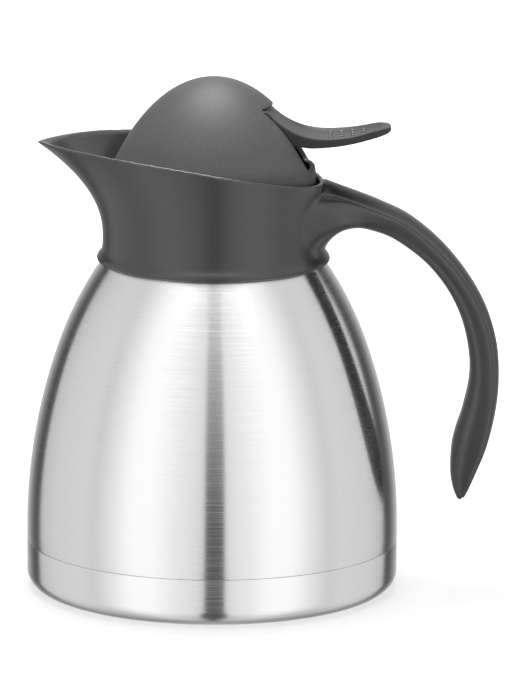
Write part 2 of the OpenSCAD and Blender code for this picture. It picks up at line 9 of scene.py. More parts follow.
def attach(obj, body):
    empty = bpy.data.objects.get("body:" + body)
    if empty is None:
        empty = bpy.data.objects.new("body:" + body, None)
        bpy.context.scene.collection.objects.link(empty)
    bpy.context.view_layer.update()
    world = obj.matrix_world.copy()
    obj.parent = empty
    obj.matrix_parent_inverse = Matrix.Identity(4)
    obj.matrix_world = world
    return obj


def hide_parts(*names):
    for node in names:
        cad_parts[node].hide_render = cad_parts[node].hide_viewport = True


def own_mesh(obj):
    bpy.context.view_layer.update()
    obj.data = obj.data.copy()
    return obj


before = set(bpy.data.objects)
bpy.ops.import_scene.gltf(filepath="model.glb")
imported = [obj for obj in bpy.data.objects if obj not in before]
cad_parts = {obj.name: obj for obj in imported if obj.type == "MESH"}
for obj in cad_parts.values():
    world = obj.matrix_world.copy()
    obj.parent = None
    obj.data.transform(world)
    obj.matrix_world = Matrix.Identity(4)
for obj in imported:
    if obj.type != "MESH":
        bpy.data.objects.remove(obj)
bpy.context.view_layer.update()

MM = 0.001      # the model is in metres, and the sizes in this script are in millimetres


# ---------------------------------------------------------------- small helpers
def colour(hex_code):
    """An sRGB hex colour as the linear RGBA that a socket takes."""
    channels = [int(hex_code[i:i + 2], 16) / 255 for i in (1, 3, 5)]
    return [c / 12.92 if c <= 0.04045 else ((c + 0.055) / 1.055) ** 2.4 for c in channels] + [1.0]


def add_node(tree, kind, links=None, **values):
    """Adds a node. values set its properties, or its sockets where no property has the name:
    Base_Color is the socket Base Color, and i1 is socket 1."""
    node = tree.nodes.new("ShaderNode" + kind)
    for key, value in values.items():
        if hasattr(node, key):
            setattr(node, key, value)
        else:
            socket = key.replace("_", " ")
            node.inputs[int(socket[1:]) if socket[1:].isdigit() else socket].default_value = value
    for key, source in (links or {}).items():
        tree.links.new(source, node.inputs[key])
    return node


def new_material(name, **surface):
    """A material with a Principled surface. Returns it with its node tree and the surface node."""
    made = bpy.data.materials.new(name)
    made.use_nodes = True
    tree = made.node_tree
    tree.nodes.clear()
    shader = add_node(tree, "BsdfPrincipled", **surface)
    output = add_node(tree, "OutputMaterial")
    tree.links.new(shader.outputs["BSDF"], output.inputs["Surface"])
    return made, tree, shader


def smooth_between(low, high, value):
    """0 below low, 1 above high, and a smooth step between them."""
    share = min(1.0, max(0.0, (value - low) / (high - low)))
    return share * share * (3 - 2 * share)


# ---------------------------------------------------------------- camera
# Fitted to the photo's ellipses and outline: place, tilt downwards and roll in degrees
CAMERA_AT, CAMERA_DOWN, CAMERA_ROLL = (20.0, -2600.0, 651.5), 12.04, 0.36
camera_data = bpy.data.cameras.new("studio_camera")
camera_data.lens = 338.6
camera_data.sensor_width = 36.0
camera_data.clip_end = 50.0
camera = bpy.data.objects.new("studio_camera", camera_data)
bpy.context.scene.collection.objects.link(camera)
camera.matrix_world = (
    Matrix.Translation([c * MM for c in CAMERA_AT])
    @ Matrix.Rotation(math.radians(90 - CAMERA_DOWN), 4, "X")
    @ Matrix.Rotation(math.radians(CAMERA_ROLL), 4, "Z")
)
bpy.context.scene.camera = camera
bpy.context.scene.view_settings.view_transform = "Standard"


# ---------------------------------------------------------------- materials
def tint_and_bump(tree, shader, pattern, span, tones, relief):
    """Two tones over a span of a pattern's values, and a bump that follows the same pattern."""
    mix = add_node(tree, "ValToRGB", {"Fac": pattern.outputs["Fac"]})
    for element, position, tone in zip(mix.color_ramp.elements, span, tones):
        element.position = position
        element.color = colour(tone)
    tree.links.new(mix.outputs["Color"], shader.inputs["Base Color"])
    bump = add_node(tree, "Bump", {"Height": pattern.outputs["Fac"]},
                    Strength=relief, Distance=0.1 * MM)
    tree.links.new(bump.outputs["Normal"], shader.inputs["Normal"])


def satin_plastic(name, tones, rough, shine=0.5):
    """A moulding from a finely eroded mould: satin, with a faint even speckle."""
    made, tree, shader = new_material(name, Roughness=rough, Specular_IOR_Level=shine)
    place = add_node(tree, "TexCoord").outputs["Object"]
    # erosion grain of about 0.2 mm in a real mould, drawn at 0.5 mm so that it just shows
    grain = add_node(tree, "TexNoise", {"Vector": place}, Scale=2000.0, Detail=1.0)
    tint_and_bump(tree, shader, grain, (0.3, 0.7), tones, relief=0.2)
    # patches of about 30 mm where the mould's polish has come through a little more or less
    cloud = add_node(tree, "TexNoise", {"Vector": place}, Scale=35.0, Detail=2.0)
    soft = add_node(tree, "MapRange", {"Value": cloud.outputs["Fac"]},
                    To_Min=rough - 0.05, To_Max=rough + 0.05)
    tree.links.new(soft.outputs["Result"], shader.inputs["Roughness"])
    return made


def brushed_steel(name, tones, rough):
    """Stainless steel 18/8 with fine scratches that run round the jug's axis: what it mirrors
    stays crisp sideways and is drawn out up and down."""
    made, tree, shader = new_material(
        name, Metallic=1.0, Anisotropic=1.0, Anisotropic_Rotation=0.25)
    place = add_node(tree, "TexCoord").outputs["Object"]
    # belt scratches about 0.1 mm apart and 30 mm long, drawn 0.25 mm apart so that they show
    lines_map = add_node(tree, "Mapping", {"Vector": place}, Scale=(30, 30, 4000))
    lines = add_node(tree, "TexNoise", {"Vector": lines_map.outputs["Vector"]},
                     Scale=1.0, Detail=3.0)
    tint_and_bump(tree, shader, lines, (0.25, 0.75), tones, relief=0.02)
    # a deeper scratch spreads the light further, which streaks the dark reflections most
    scratch = add_node(tree, "MapRange", {"Value": lines.outputs["Fac"]},
                       From_Min=0.34, From_Max=0.66, To_Min=rough - 0.05, To_Max=rough + 0.08)
    tree.links.new(scratch.outputs["Result"], shader.inputs["Roughness"])
    return made


# Polypropylene in one charcoal. Each moulding has its own polish, so each catches the light
# in its own way: the collar and the handle with a soft sheen, the dome and the lever dull.
# Their tones differ too, as painted light and shade: the dome's paler tone is painted light,
# and the darker tones of the collar, the handle and the lever are painted shade.
charcoal = satin_plastic(
    "charcoal_polypropylene_eroded_painted_shade", ("#404042", "#4c4c4e"), 0.3, 0.75)
dome_charcoal_painted_light = satin_plastic(
    "charcoal_polypropylene_matte_painted_light", ("#545456", "#626264"), 0.52, 0.6)
lever_charcoal_painted_shade = satin_plastic(
    "charcoal_polypropylene_lever_painted_shade", ("#454547", "#515153"), 0.5, 0.35)
# the raised dots on the lever are coloured paler than the pad round them: a painted highlight
dots_charcoal_painted_highlight = satin_plastic(
    "charcoal_polypropylene_dots_painted_highlight", ("#78787a", "#88888a"), 0.4, 0.8)
# the inside of the collar has a higher polish, which the spout shows as brighter patches
gloss_charcoal = satin_plastic(
    "charcoal_polypropylene_polished", ("#4a4a4c", "#4e4e50"), 0.16)
inner_plastic = satin_plastic("dark_polypropylene_inner", ("#343436", "#3c3c3e"), 0.4)
silicone = satin_plastic("grey_silicone_moulded", ("#6a6a6c", "#747476"), 0.55)
# The body is bright with streaked reflections. Hidden steel is left as drawn, and is duller.
steel = brushed_steel("stainless_18_8_belt_brushed", ("#dadadc", "#e2e2e3"), 0.2)
steel_plain = brushed_steel("stainless_18_8_plain_drawn", ("#cfcfd1", "#d9d9da"), 0.32)

FINISHES = [
    (steel, "outer_shell base_cup"),
    (steel_plain, "vacuum_bottom evacuation_seal getter_capsule flask_base inner_flask"
                  " flask_shoulder handle_screws valve_rod valve_nut valve_spring"
                  " floor_screws lever_pin"),
    (silicone, "neck_gasket stopper_seal valve_seal rod_seal"),
    # the collar's and handle's darker tone is painted shade, the dome's paler tone painted light
    (charcoal, "spout_collar handle handle_cover"),
    (inner_plastic, "stopper_cup stopper_core valve_disc push_cap dome_floor"),
    (dome_charcoal_painted_light, "dome_shell"),
    (lever_charcoal_painted_shade, "thumb_lever"),
]
for finish, node_names in FINISHES:
    for node_name in node_names.split():
        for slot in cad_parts[node_name].material_slots:
            slot.material = finish


# ---------------------------------------------------------------- modelling helpers
def only(piece):
    """Deselects everything, then selects one object and makes it active."""
    bpy.ops.object.select_all(action="DESELECT")
    piece.select_set(True)
    bpy.context.view_layer.objects.active = piece


def named(name, finish):
    """Names the active object, gives it its finish and puts its place into its mesh."""
    made = bpy.context.object
    made.name = made.data.name = name
    made.data.materials.clear()
    made.data.materials.append(finish)
    bpy.ops.object.transform_apply(location=True, rotation=True, scale=True)
    return made


def copied(piece, move):
    """A copy of a piece with its own mesh, moved by a matrix."""
    twin = piece.copy()
    twin.data = piece.data.copy()
    twin.data.transform(move)
    bpy.context.scene.collection.objects.link(twin)
    return twin


def join(pieces):
    """Joins pieces into the first of them, which is active afterwards."""
    only(pieces[0])
    for piece in pieces[1:]:
        piece.select_set(True)
    bpy.ops.object.join()


def spin_line(line, steps):
    """Draws a line of (radius, height) points from one vertex and spins it round the jug's axis.
    The object is left in edit mode with everything selected."""
    bpy.ops.object.select_all(action="DESELECT")
    bpy.ops.mesh.primitive_plane_add(size=MM)
    bpy.ops.object.mode_set(mode="EDIT")
    bpy.ops.mesh.select_all(action="SELECT")
    bpy.ops.mesh.merge(type="CENTER")
    before = (0.0, 0.0)
    for number, (radius, height) in enumerate(line):
        step = ((radius - before[0]) * MM, 0, (height - before[1]) * MM)
        if number == 0:
            bpy.ops.transform.translate(value=step)
        else:
            bpy.ops.mesh.extrude_vertices_move(TRANSFORM_OT_translate={"value": step})
        before = (radius, height)
    bpy.ops.mesh.select_all(action="SELECT")
    bpy.ops.mesh.spin(steps=steps, angle=math.tau, center=(0, 0, 0), axis=(0, 0, 1))
    bpy.ops.mesh.select_all(action="SELECT")
    bpy.ops.mesh.remove_doubles(threshold=0.002 * MM)
    bpy.ops.mesh.normals_make_consistent(inside=False)


def turned(name, outline, finish, steps):
    """Lathe work: a closed outline of (radius, height) points, spun round the jug's axis."""
    spin_line(outline + outline[:1], steps)
    bpy.ops.object.mode_set(mode="OBJECT")
    bpy.ops.object.shade_smooth_by_angle(angle=math.radians(32))
    return named(name, finish)


def arc(cx, cz, radius, start, end, count):
    """Points of an arc in an outline, angles in degrees from +X."""
    return [(cx + radius * math.cos(math.radians(start + (end - start) * i / count)),
             cz + radius * math.sin(math.radians(start + (end - start) * i / count)))
            for i in range(count + 1)]


def skin_over(name, rings, finish, closed=False):
    """A skin over rings of points, active afterwards. Its ends are filled, unless it closes on
    itself."""
    count = len(rings[0])
    mesh = bpy.data.meshes.new(name)
    made = bpy.data.objects.new(name, mesh)
    bpy.context.scene.collection.objects.link(made)
    shape = bmesh.new()
    rows = [[shape.verts.new([c * MM for c in point]) for point in ring] for ring in rings]
    pairs = list(zip(rows, rows[1:])) + ([(rows[-1], rows[0])] if closed else [])
    for one, two in pairs:
        for j in range(count):
            k = (j + 1) % count
            shape.faces.new((one[j], one[k], two[k], two[j]))
    if not closed:
        for row in (rows[0], rows[-1]):
            middle = shape.verts.new(sum((v.co for v in row), Vector()) / count)
            for j in range(count):
                shape.faces.new((row[j], row[(j + 1) % count], middle))
    bmesh.ops.recalc_face_normals(shape, faces=shape.faces)
    shape.to_mesh(mesh)
    shape.free()
    only(made)
    return named(name, finish)


def finish_with(made, kind, **settings):
    """Adds a modifier to a piece and applies it. The piece is active afterwards."""
    only(made)
    modifier = made.modifiers.new(kind.lower(), kind)
    for key, value in settings.items():
        setattr(modifier, key, value)
    bpy.ops.object.modifier_apply(modifier=modifier.name)


def weight_by(made, name, rule):
    """A vertex group whose weight is a rule of the vertex's place."""
    group = made.vertex_groups.new(name=name)
    for vertex in made.data.vertices:
        weight = rule(*(c / MM for c in vertex.co))
        if weight > 0:
            group.add([vertex.index], min(1.0, weight), "REPLACE")
    return name


def select_faces(piece, rule):
    """In edit mode, selects the faces whose middle meets a rule, and no others."""
    shape = bmesh.from_edit_mesh(piece.data)
    for face in shape.faces:
        face.select_set(rule(*(face.calc_center_median() / MM)))
    bmesh.update_edit_mesh(piece.data)


# ---------------------------------------------------------------- steel body
BODY_R, FOOT_ROUND, SHEET = 75.0, 7.1, 0.8
JOGGLE_R = 74.1         # the outer wall steps in at its foot, to slide into the base cup
NECK_R = 35.4
# The side is two arcs in one smooth line, from the foot to the shoulder
ARC_Z, ARC1_R, ARC1_TOP, ARC2_R, SHELL_TOP = 25.0, 226.0, 100.0, 145.0, 137.0
ARC1_END = math.degrees(math.asin((ARC1_TOP - ARC_Z) / ARC1_R))
ARC2_END = math.degrees(math.asin(
    math.sin(math.radians(ARC1_END)) + (SHELL_TOP - ARC1_TOP) / ARC2_R))
ARC1_CX = BODY_R - ARC1_R
ARC2_CX = ARC1_CX + (ARC1_R - ARC2_R) * math.cos(math.radians(ARC1_END))
ARC2_CZ = ARC1_TOP - ARC2_R * math.sin(math.radians(ARC1_END))


def body_line(inset, count):
    """The body's side from the foot to the shoulder, moved in by inset."""
    return (arc(ARC1_CX, ARC_Z, ARC1_R - inset, 0, ARC1_END, count)
            + arc(ARC2_CX, ARC2_CZ, ARC2_R - inset, ARC1_END, ARC2_END, count // 2)[1:])


def make_body():
    """Spun outer wall. It steps in at the foot, and necks in under the collar."""
    outside = [(JOGGLE_R, 12.0), (JOGGLE_R, 19.75), (74.85, 19.76), (74.93, 19.79),
               (74.98, 19.86), (BODY_R, 20.0)]
    outside += body_line(0, 40)
    outside += [(44.6, 139.6), (38.0, 141.2), (NECK_R, 142.5), (NECK_R, 145.2)]
    inside = [(73.3, 12.0), (73.3, 20.0), (74.2, 21.0)]
    inside += body_line(SHEET, 16)
    inside += [(44.0, 138.7), (36.0, 140.4), (34.6, 142.0), (34.6, 145.2)]
    body = turned("steel_body", outside + inside[::-1], steel, steps=192)
    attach(body, "jug")
    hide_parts("outer_shell")


def make_base():
    """Pressed base cup: a rounded foot, a standing ring and a floor with a stamped step."""
    stamped = [(0, 2.6), (30, 2.6), (31.2, 2.9), (36, 2.9), (37.2, 2.6)]
    outside = stamped + [(53.4, 2.6), (54.6, 2.3), (57.4, 0.25), (58.4, 0)]
    outside += arc(BODY_R - FOOT_ROUND, FOOT_ROUND, FOOT_ROUND, -90, 0, 16)
    # the cup's edge is rolled in a little, and shows as the seam line
    outside += [(BODY_R, 19.4), (74.96, 19.58), (74.87, 19.67), (74.7, 19.71), (74.3, 19.72)]
    inside = [(r, z + SHEET) for r, z in stamped]
    inside += [(53.6, 3.4), (55, 3.1), (57.7, 1.05), (58.6, 0.8)]
    inside += arc(BODY_R - FOOT_ROUND, FOOT_ROUND, FOOT_ROUND - SHEET, -90, 0, 12)
    inside += [(74.2, 19.4)]
    base = turned("base_cup_steel", outside + inside[::-1], steel, steps=192)
    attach(base, "jug")
    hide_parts("base_cup")


# ---------------------------------------------------------------- collar, spout and grip
COLLAR_R, REACH, RIM_Z, COLLAR_WALL = 44.6, 72.0, 176.5, 2.3
WAIST_Z, THREAD_Z, THREAD_TOP, BORE_R = 145.0, 147.5, 155.0, 33.2
ARCH = (REACH ** 2 - COLLAR_R ** 2) / (2 * COLLAR_R)


def rim_height(x):
    """Height of the rim, which falls from the spout to the handle in a slight curve."""
    return RIM_Z - 0.165 * x - 0.0012 * x * x


def reach_at(turn):
    """Reach of the rim, by the angle from the spout: a round back, a pointed arch in front."""
    if abs(turn) > 90:
        return COLLAR_R
    # the small square keeps the point of the arch a little blunt
    side = math.sqrt(math.sin(math.radians(turn)) ** 2 + 0.0004)
    return math.sqrt((ARCH * side) ** 2 + REACH ** 2) - ARCH * side


def collar_section(turn):
    """One upright cut through the collar, from the bead over the rim to the threaded bore."""
    reach = reach_at(turn)
    top = rim_height(-reach * math.cos(math.radians(turn)))

    def rise(z):
        return max(0.0, (z - WAIST_Z) / (top - WAIST_Z))

    def outer(z):
        return COLLAR_R + (reach - COLLAR_R) * rise(z) ** 2

    def wall(z):
        """The wall's level thickness. Square to the leaning wall it is COLLAR_WALL."""
        slope = 2 * (reach - COLLAR_R) * rise(z) / (top - WAIST_Z)
        return COLLAR_WALL * math.sqrt(1 + slope ** 2)

    points = [(45.3, 133.7), (46.4, 134.0), (46.9, 134.6), (47.0, 135.3), (46.8, 136.1),
              (46.1, 136.9), (45.3, 137.6), (44.85, 138.8), (44.7, 140.2)]      # the bead
    low, high = 142, top - 0.7
    heights = [low + (high - low) * k / 14 for k in range(15)]
    points += [(outer(z), z) for z in heights]
    thick = wall(top)
    points += [(reach - 0.1 * thick, top - 0.25), (reach - 0.3 * thick, top),
               (reach - 0.62 * thick, top), (reach - 0.85 * thick, top - 0.3)]   # the lip
    # inside, the bowl runs down to the bore, lowest on the spout's side
    bowl_z = max(THREAD_TOP + 1.5, 160.8 - 0.9 * (reach - COLLAR_R))
    heights = [top - 1 + (bowl_z - top + 1) * k / 10 for k in range(11)]
    points += [(outer(z) - wall(z), z) for z in heights]
    bowl_r = outer(bowl_z) - wall(bowl_z)
    points += [(bowl_r - 1.6, bowl_z - 0.9), (BORE_R + 0.5, THREAD_TOP + 0.3),
               (BORE_R, THREAD_TOP - 0.3), (BORE_R, THREAD_Z)]
    # the seat on the steel neck, and the hollow between the bore and the outer wall
    points += [(35.7, THREAD_Z), (35.7, 141.8), (38.0, 141.8), (38.0, THREAD_TOP - 2.6),
               (40.8, THREAD_TOP - 0.8), (42.3, THREAD_TOP - 2), (42.3, 139.6), (44.0, 136.4)]
    return points


# Stations from the collar to the tip, square to the grip's run: back x, z; inside x, z;
# half width; half width of the back; crown of the back; how far it wraps round the collar
GRIP = [
    (44.7, 167.2, 44.9, 139.3, 28.0, 9.4, 4.7, 1.00),
    (47.4, 166.3, 47.0, 143.0, 20.0, 9.6, 4.3, 0.75),
    (52.5, 164.4, 51.5, 146.7, 14.8, 10.2, 3.7, 0.40),
    (59.0, 162.0, 57.5, 148.1, 12.4, 10.7, 3.6, 0.10),
    (67.5, 158.6, 63.5, 147.2, 11.6, 11.0, 3.5, 0.00),
    (79.0, 152.9, 72.5, 143.7, 11.2, 10.8, 3.0, 0.00),
    (91.5, 142.6, 84.5, 134.9, 11.0, 10.6, 2.8, 0.00),
    (102.0, 130.0, 93.3, 124.5, 11.0, 10.6, 2.4, 0.00),
    (109.6, 116.8, 99.3, 113.0, 11.0, 10.6, 2.4, 0.00),
    (114.2, 102.5, 102.7, 100.5, 11.2, 10.8, 2.7, 0.00),
    (115.6, 88.0, 103.6, 88.0, 11.4, 11.0, 2.7, 0.00),
    (114.6, 73.8, 101.2, 74.9, 11.4, 11.0, 2.0, 0.00),
    (111.2, 58.9, 97.1, 61.0, 10.9, 10.5, 1.4, 0.00),
    (106.2, 45.8, 96.3, 48.3, 8.6, 8.3, 1.2, 0.00),
    (103.2, 38.7, 97.5, 40.8, 5.6, 5.4, 1.0, 0.00),
    (101.4, 35.5, 99.3, 36.2, 2.4, 2.3, 0.6, 0.00),
]
LAST_STATION = len(GRIP) - 1


def grip_station(u):
    """A smooth curve through the stations: u is 0 at the first and LAST_STATION at the last."""
    i = min(int(u), LAST_STATION - 1)
    f = u - i
    near = (GRIP[j] for j in (max(i - 1, 0), i, i + 1, min(i + 2, LAST_STATION)))
    return [q + 0.5 * f * (r - p + f * (2 * p - 5 * q + 4 * r - s + f * (3 * (q - r) + s - p)))
            for p, q, r, s in zip(*near)]


def grip_height(station):
    """Distance between the inside and the back of the grip."""
    return math.hypot(station[0] - station[2], station[1] - station[3])


def across(station, section):
    """Puts a section of (side, height) points at its station, wrapped round the collar."""
    back_x, back_z, inside_x, inside_z = station[:4]
    wrap, height = station[7], grip_height(station)
    ux, uz = (back_x - inside_x) / height, (back_z - inside_z) / height
    points = []
    for y, h in section:
        round_collar = wrap * (COLLAR_R - math.sqrt(COLLAR_R ** 2 - y * y))
        points.append((inside_x + ux * h - round_collar, y, inside_z + uz * h))
    return points


def grip_section(station):
    """Grip with flat flanks, a rounded inside and a flat seat for the back strip."""
    wide, back = station[4], station[5]
    seat = grip_height(station) - station[6]
    belly = seat * 0.5
    flank = []
    for b in range(90, 0, -10):
        c, s = math.cos(math.radians(b)), math.sin(math.radians(b))
        flank.append((back + (wide - back) * c, belly + (seat - belly) * s))
    under = []
    for a in range(0, 181, 10):
        c, s = math.cos(math.radians(a)), math.sin(math.radians(a))
        under.append((wide * math.copysign(abs(c) ** 0.75, c), belly * (1 - s ** 0.75)))
    other_flank = [(-y, h) for y, h in reversed(flank)]
    return flank + under + other_flank + [(-back * 0.6, seat), (0, seat), (back * 0.6, seat)]


def skin_collar():
    """The collar is skinned over upright cuts, closest together at the spout's point."""
    half = 64
    rings = []
    for i in range(-half + 1, half + 1):
        turn = 180 * math.copysign(abs(i / half) ** 1.5, i)
        c, s = math.cos(math.radians(turn)), math.sin(math.radians(turn))
        rings.append([(-r * c, r * s, z) for r, z in collar_section(abs(turn))])
    return skin_over("collar_moulding", rings, charcoal, closed=True)


def skin_grip():
    """The grip is skinned over its sections. Its first rings close it inside the collar's wall."""
    root = across(grip_station(0), grip_section(grip_station(0)))
    buried, middle_z = COLLAR_R - 1.2, 151
    rings = []
    for share in (0.2, 0.45, 0.7, 0.88, 1.0):
        ring = [(y * share, middle_z + (z - middle_z) * share) for x, y, z in root]
        rings.append([(math.sqrt(buried ** 2 - y * y), y, z) for y, z in ring])
    count = 75
    for k in range(1, count + 1):
        station = grip_station(LAST_STATION * (k / count) ** 1.12)
        rings.append(across(station, grip_section(station)))
    return skin_over("grip", rings, charcoal)


def body_weight(x, y, z):
    """How far the first smoothing goes: all the way, but less near the spout's crisp tip."""
    return 0.35 if x < -46 and z > 170 else 1.0


ROOT_LOW, ROOT_HIGH, ROOT_HALF, ROOT_R = 137.5, 156, 31, 45.2


def root_weight(x, y, z):
    """Strongest along the line where the grip leaves the collar, and fading all round it."""
    away = math.hypot(x, y)
    if x < 30 or abs(y) > ROOT_HALF or not ROOT_LOW < z < ROOT_HIGH or away > 53 or away < 44:
        return 0.0
    upright = min(1.0, (ROOT_HIGH - z) / 8) * min(1.0, (z - ROOT_LOW) / 3)
    return (max(0.0, 1 - abs(away - ROOT_R) / 6) * upright
            * min(1.0, (ROOT_HALF - abs(y)) / 14))


def polish_bowl(moulding):
    """Gives the faces that look inwards, from the thread to just under the rim, a polish."""
    moulding.data.materials.append(gloss_charcoal)
    for face in moulding.data.polygons:
        x, y, z = (c / MM for c in face.center)
        inward = face.normal.x * x + face.normal.y * y < -0.15 * math.hypot(x, y)
        if THREAD_TOP < z < rim_height(x) - 1.4 and inward and x < 46:
            face.material_index = 1


def make_collar_and_grip():
    """Collar and grip in one moulding, with a soft fillet at the root: two skins are joined,
    remeshed into one and smoothed. The pointed spout and the turning grip can't be had by
    extruding and scaling, so both are skinned over cuts."""
    moulding, grip = skin_collar(), skin_grip()
    join([moulding, grip])
    moulding.data.remesh_voxel_size = 0.8 * MM
    moulding.data.remesh_voxel_adaptivity = 0
    bpy.ops.object.voxel_remesh()
    soft = weight_by(moulding, "soft", body_weight)
    finish_with(moulding, "SMOOTH", factor=0.5, iterations=7, vertex_group=soft)
    root = weight_by(moulding, "root", root_weight)
    finish_with(moulding, "SMOOTH", factor=0.5, iterations=20, vertex_group=root)
    polish_bowl(moulding)
    bpy.ops.object.shade_smooth()
    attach(moulding, "jug")
    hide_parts("spout_collar", "handle")


def make_back_strip():
    """The crowned cover strip along the handle's back. It flares where it meets the collar."""
    rings = []
    count, end = 90, LAST_STATION - 0.55
    for k in range(count + 1):
        u = end * k / count
        station = grip_station(u)
        flare = 1 - smooth_between(0, 1.3, u)
        back, crown = station[5] - 0.4 + 3.2 * flare, station[6] - 0.1
        seat = grip_height(station) - crown
        edge = min(0.4, crown * 0.3)
        top = []
        for i in range(1, 16):
            share = i / 8 - 1                   # -1 and 1 are the strip's two edges
            top.append((back * share, seat + edge + (crown - edge) * (1 - share ** 2)))
        sunk = seat - 1.0 - 2.0 * flare
        left = [(-back + 0.8, sunk - 0.3), (-back, sunk), (-back, seat + 0.1),
                (-back * 0.99, seat + edge)]
        right = [(-y, h) for y, h in reversed(left)]
        rings.append(across(station, left + top + right))
    # the first ring once more, moved into the collar's wall
    rings.insert(0, [(x - 1.3, y, z - 0.5) for x, y, z in rings[0]])
    strip = skin_over("handle_back_strip", rings, charcoal)
    bpy.ops.object.shade_smooth_by_angle(angle=math.radians(50))
    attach(strip, "jug")
    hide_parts("handle_cover")


# ---------------------------------------------------------------- lid
DOME_TOP, SKIRT_R, SKIRT_Z, DOME_WALL = 208.6, 41.0, 163.1, 2.2
BAND_Z, WINDOW_TOP, WINDOW_HALF, WINDOW_CORNER = 173.0, 198.0, 15.0, 1.4


def near_window(x, y, z):
    """True for the part of the dome that the window's cuts go through."""
    return x > 15 and abs(y) < 19 and BAND_Z - 5 < z < WINDOW_TOP + 5


def in_window(x, y, z):
    """True inside the window, which is a rectangle with its corners cut."""
    y, low, high = abs(y), z - BAND_Z, WINDOW_TOP - z
    return (x > 15 and y < WINDOW_HALF and low > 0 and high > 0
            and y + WINDOW_CORNER - low < WINDOW_HALF
            and y + WINDOW_CORNER - high < WINDOW_HALF)


def make_dome():
    """Domed lid: the end of an egg runs into an upright skirt. The window is for the lever."""
    def egg(r):
        return DOME_TOP - 104 * (1 - math.sqrt(1 - (r / 53.9) ** 2))

    line = [(r, egg(r)) for r in [0, 0.8] + [1.6 * i for i in range(1, 25)]]
    line += [(39.3, egg(39.2) + 0.02), (40.1, 174.4), (40.7, 172.2), (SKIRT_R, 170.2),
             (SKIRT_R, SKIRT_Z)]
    spin_line(line, steps=160)
    dome = bpy.context.object
    # planes through the window's four sides, then its four cut corners: a point and a normal
    inner = WINDOW_HALF - WINDOW_CORNER
    cuts = [((0, WINDOW_HALF, 0), (0, 1, 0)), ((0, -WINDOW_HALF, 0), (0, 1, 0)),
            ((0, 0, BAND_Z), (0, 0, 1)), ((0, 0, WINDOW_TOP), (0, 0, 1)),
            ((0, inner, BAND_Z), (0, 1, -1)), ((0, -inner, BAND_Z), (0, 1, 1)),
            ((0, inner, WINDOW_TOP), (0, 1, 1)), ((0, -inner, WINDOW_TOP), (0, 1, -1))]
    for point, normal in cuts:
        select_faces(dome, near_window)
        bpy.ops.mesh.bisect(plane_co=[c * MM for c in point], plane_no=normal)
    select_faces(dome, in_window)
    bpy.ops.mesh.delete(type="FACE")
    bpy.ops.mesh.select_all(action="SELECT")
    bpy.ops.mesh.remove_doubles(threshold=0.12 * MM)
    bpy.ops.object.mode_set(mode="OBJECT")
    # the dome's paler tone is painted light
    named("dome", dome_charcoal_painted_light)
    finish_with(dome, "SOLIDIFY", thickness=DOME_WALL * MM, offset=-1.0, use_even_offset=True)
    finish_with(dome, "BEVEL", width=0.35 * MM, segments=2, limit_method="ANGLE",
                angle_limit=math.radians(50), use_clamp_overlap=False)
    bpy.ops.object.shade_smooth_by_angle(angle=math.radians(60))
    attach(dome, "lid")
    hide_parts("dome_shell")


# Seen from the side, the lever is an arm inside the dome and a paddle that dips and then lifts
PIVOT_X, PIVOT_Z, LEVER_TIP = -25.0, 182.2, 71.4
ARM_END, DIP_X, DIP_Z, UNDER_X, UNDER_Z, UNDER_R = 21.2, 44.5, 186.0, 38, 181.9, 102
ARM_TOP = [(-28.2, 184.4), (PIVOT_X, 185.4), (0, 187.4), (11, 192.0), (18.2, 197.1),
           (ARM_END, 196.8)]
ARM_UNDER = [(-28.2, 180.0), (PIVOT_X, 179.0), (-9, 179.4), (9, 179.4), (26, 182.0),
             (33.5, 182.6), (UNDER_X, UNDER_Z)]


def on_line(line, x):
    """Height at x of a line of (x, height) points."""
    for (x0, z0), (x1, z1) in zip(line, line[1:]):
        if x <= x1:
            return z0 + (z1 - z0) * (x - x0) / (x1 - x0)


def lever_top(x):
    """Height of the lever's top border: the arm, the dip, the rise, and a drop at the tip."""
    if x < ARM_END:
        return on_line(ARM_TOP, x)
    radius = 30 if x < DIP_X else 68
    drop = 2.2 * (max(0.0, x - 63) / 8.4) ** 2
    return DIP_Z + radius - math.sqrt(radius ** 2 - (x - DIP_X) ** 2) - drop


def lever_under(x):
    """Height of the lever's underside."""
    if x > UNDER_X:
        return UNDER_Z + UNDER_R - math.sqrt(UNDER_R ** 2 - (x - UNDER_X) ** 2)
    return on_line(ARM_UNDER, x)


def lever_half(x):
    """Half width of the lever: a narrow arm, parallel in the window, then an oval end."""
    if x < 14:
        return 8 + 6.2 * smooth_between(4, 14, x)
    along = max(0.0, (x - 34) / (LEVER_TIP - 34)) ** (1 / 0.85)
    return 14.2 * max(0.0, 1 - along * along) ** (0.5 - 0.15 * smooth_between(60, 68, x))


def lever_ring(x):
    """One cut across the lever: the dished pad, its raised border, the rounded edge, the side
    and the underside."""
    half, top, under = max(1.0, lever_half(x)), lever_top(x), lever_under(x)
    soft = min(0.8, (top - under) * 0.3)
    if x > 70.5:                                # the very tip is rounded off
        top, under = top - 0.4 * (x - 70.2), under + 0.4 * (x - 70.2)
    sink = 1.2 * smooth_between(24, 38, x) * (1 - smooth_between(65, 68.6, x))
    border = 1.3 - 0.3 * smooth_between(40, 60, x)
    inner = max(half - soft - border, half * 0.35)
    floor = max(inner - 0.7, half * 0.25)
    side = [(floor * 0.5, top - sink * 1.05), (floor, top - sink), (inner, top - 0.03),
            (half - soft, top), (half - soft * 0.3, top - soft * 0.3), (half, top - soft),
            (half - 0.15, (top + under) / 2), (half - 0.3, under + soft),
            (half - 0.3 - soft * 0.3, under + soft * 0.3), (half - 0.3 - soft, under),
            (half * 0.5, under)]
    right = [(x, y, z) for y, z in side]
    left = [(x, -y, z) for y, z in reversed(side)]
    return [(x, 0, top - sink * 1.07)] + right + [(x, 0, under)] + left


